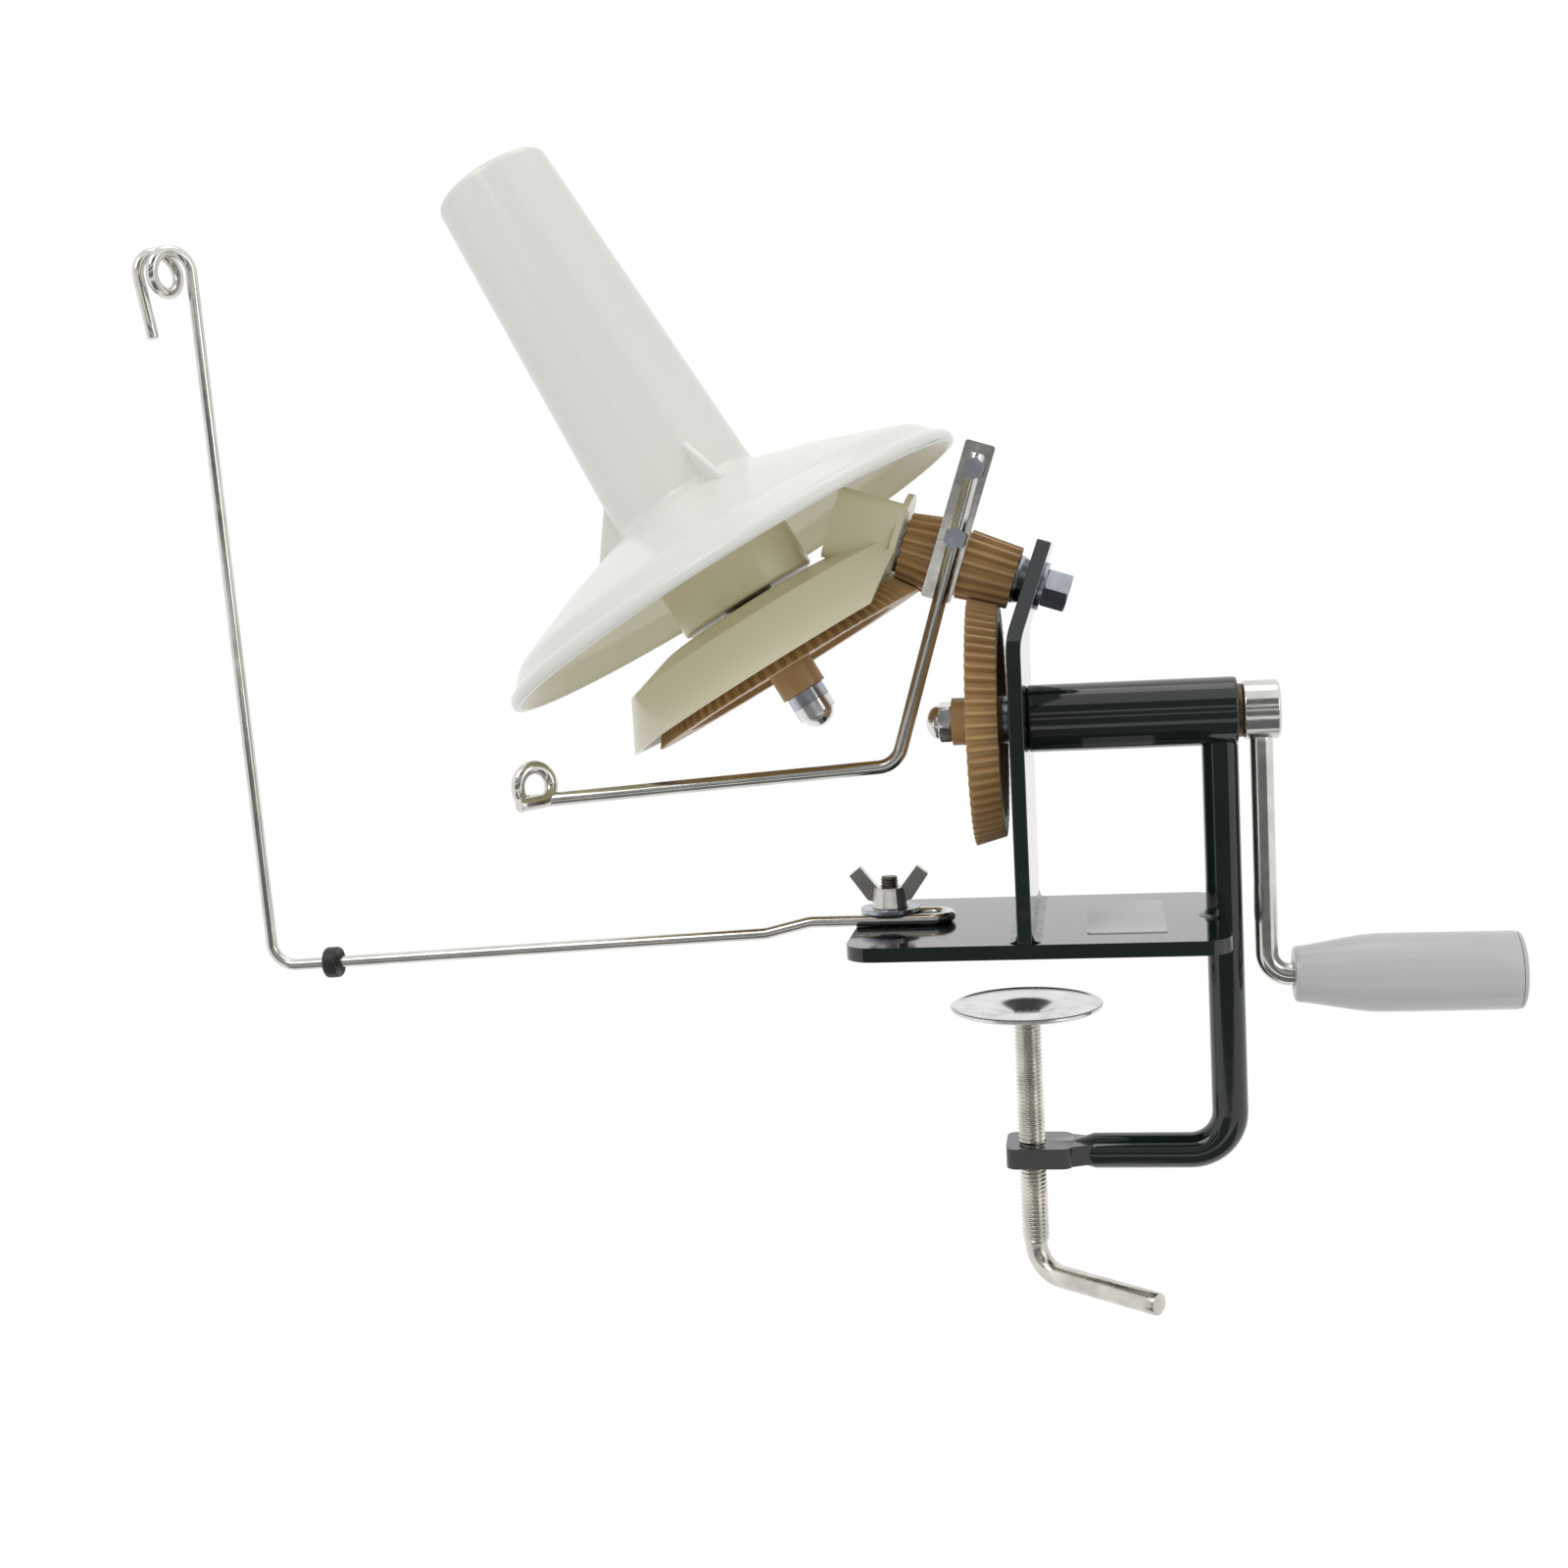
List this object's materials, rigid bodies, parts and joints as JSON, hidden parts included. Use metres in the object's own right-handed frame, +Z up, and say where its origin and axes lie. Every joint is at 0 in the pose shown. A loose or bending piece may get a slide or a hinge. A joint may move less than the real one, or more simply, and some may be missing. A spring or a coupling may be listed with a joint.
{
  "type": "yarn cone winder",
  "caption": "Hand-cranked yarn cone winder with a tilted spindle, wire flyer, wire yarn guide and table clamp.",
  "frame": {"origin": "underside of the base plate, in line with the clamp screw", "axes": "+X along the crank axis towards the handle, +Y away from the side the flyer wire is on, +Z up"},
  "size_m": [0.4838, 0.185, 0.4189],
  "materials": {
    "dark_paint": "gloss",
    "bronze": "satin",
    "pale_label": "satin",
    "zinc_steel": "satin",
    "cream_plastic": "gloss",
    "nickel_steel": "polished",
    "tan_nylon": "satin",
    "grey_grip": "gloss",
    "white_plastic": "gloss",
    "black_rubber": "matte"
  },
  "bodies": {
    "root": {"base_plate": "dark_paint", "upright_bracket": "dark_paint", "bearing_tube": "dark_paint", "crank_bushings": "bronze", "clamp_rod": "dark_paint", "weld_beads": "dark_paint", "label_plate": "pale_label", "pinion_bolt": "zinc_steel", "pinion_sleeve": "zinc_steel", "spring_washer": "zinc_steel", "pinion_washer": "zinc_steel", "pinion_lock_nut": "zinc_steel", "gear_carrier": "cream_plastic", "thrust_washer": "zinc_steel", "axle_bushing": "bronze", "guide_stud": "zinc_steel"},
    "crank": {"crank_shaft": "zinc_steel", "crank_collar": "nickel_steel", "crank_arm": "nickel_steel", "crank_gear": "tan_nylon", "crank_gear_washer": "zinc_steel", "crank_dome_nut": "nickel_steel", "grip_retainer": "zinc_steel"},
    "grip_body": {"grip": "grey_grip", "grip_cap": "grey_grip"},
    "flyer": {"pinion": "tan_nylon", "flyer_bar": "nickel_steel", "flyer_wire": "nickel_steel", "flyer_screws": "zinc_steel"},
    "cone": {"cone_spindle": "white_plastic", "axle_stud": "zinc_steel", "plate_gear": "tan_nylon", "axle_washer": "zinc_steel", "axle_jam_nut": "zinc_steel", "axle_dome_nut": "nickel_steel"},
    "guide_pivot": {"guide_washer": "zinc_steel"},
    "guide_arm": {"guide_wire": "nickel_steel", "guide_bead": "black_rubber"},
    "wing": {"wing_nut": "nickel_steel"},
    "pad": {"clamp_pad": "nickel_steel"},
    "screw": {"clamp_screw": "nickel_steel"}
  },
  "joints": [
    {"name": "crank_spin", "type": "hinge", "parent": "root", "child": "crank", "pos_m": [0.04, 0, 0.0773], "axis": [1, 0, 0], "continuous": true},
    {"name": "grip_spin", "type": "hinge", "parent": "crank", "child": "grip_body", "pos_m": [0.13, 0, -0.017], "axis": [1, 0, 0], "continuous": true},
    {"name": "flyer_spin", "type": "hinge", "parent": "root", "child": "flyer", "pos_m": [-0.02241, 0, 0.13549], "axis": [-0.9455, 0, 0.3256], "continuous": true},
    {"name": "cone_spin", "type": "hinge", "parent": "root", "child": "cone", "pos_m": [-0.0988, 0, 0.13353], "axis": [-0.4848, 0, 0.8746], "continuous": true},
    {"name": "guide_swing", "type": "hinge", "parent": "root", "child": "guide_pivot", "pos_m": [-0.0477, 0, 0.01], "axis": [0, 0, 1], "range_deg": [-45, 45]},
    {"name": "guide_slide", "type": "slide", "parent": "guide_pivot", "child": "guide_arm", "axis": [1, 0, 0], "range_m": [-0.014, 0.005]},
    {"name": "wing_nut_spin", "type": "hinge", "parent": "root", "child": "wing", "pos_m": [-0.0477, 0, 0.013], "axis": [0, 0, 1], "range_deg": [0, 720]},
    {"name": "clamp_lift", "type": "slide", "parent": "root", "child": "pad", "axis": [0, 0, 1], "range_m": [-0.04, 0.0245]},
    {"name": "clamp_turn", "type": "hinge", "parent": "pad", "child": "screw", "pos_m": [0, 0, -0.06], "axis": [0, 0, 1], "range_deg": [-9600, 5880]}
  ],
  "couplings": [
    {"joint": "flyer_spin", "follows": "crank_spin", "ratio": 3.8824},
    {"joint": "cone_spin", "follows": "crank_spin", "ratio": -0.91068},
    {"joint": "clamp_turn", "follows": "clamp_lift", "rad_per_m": 4188.8}
  ]
}
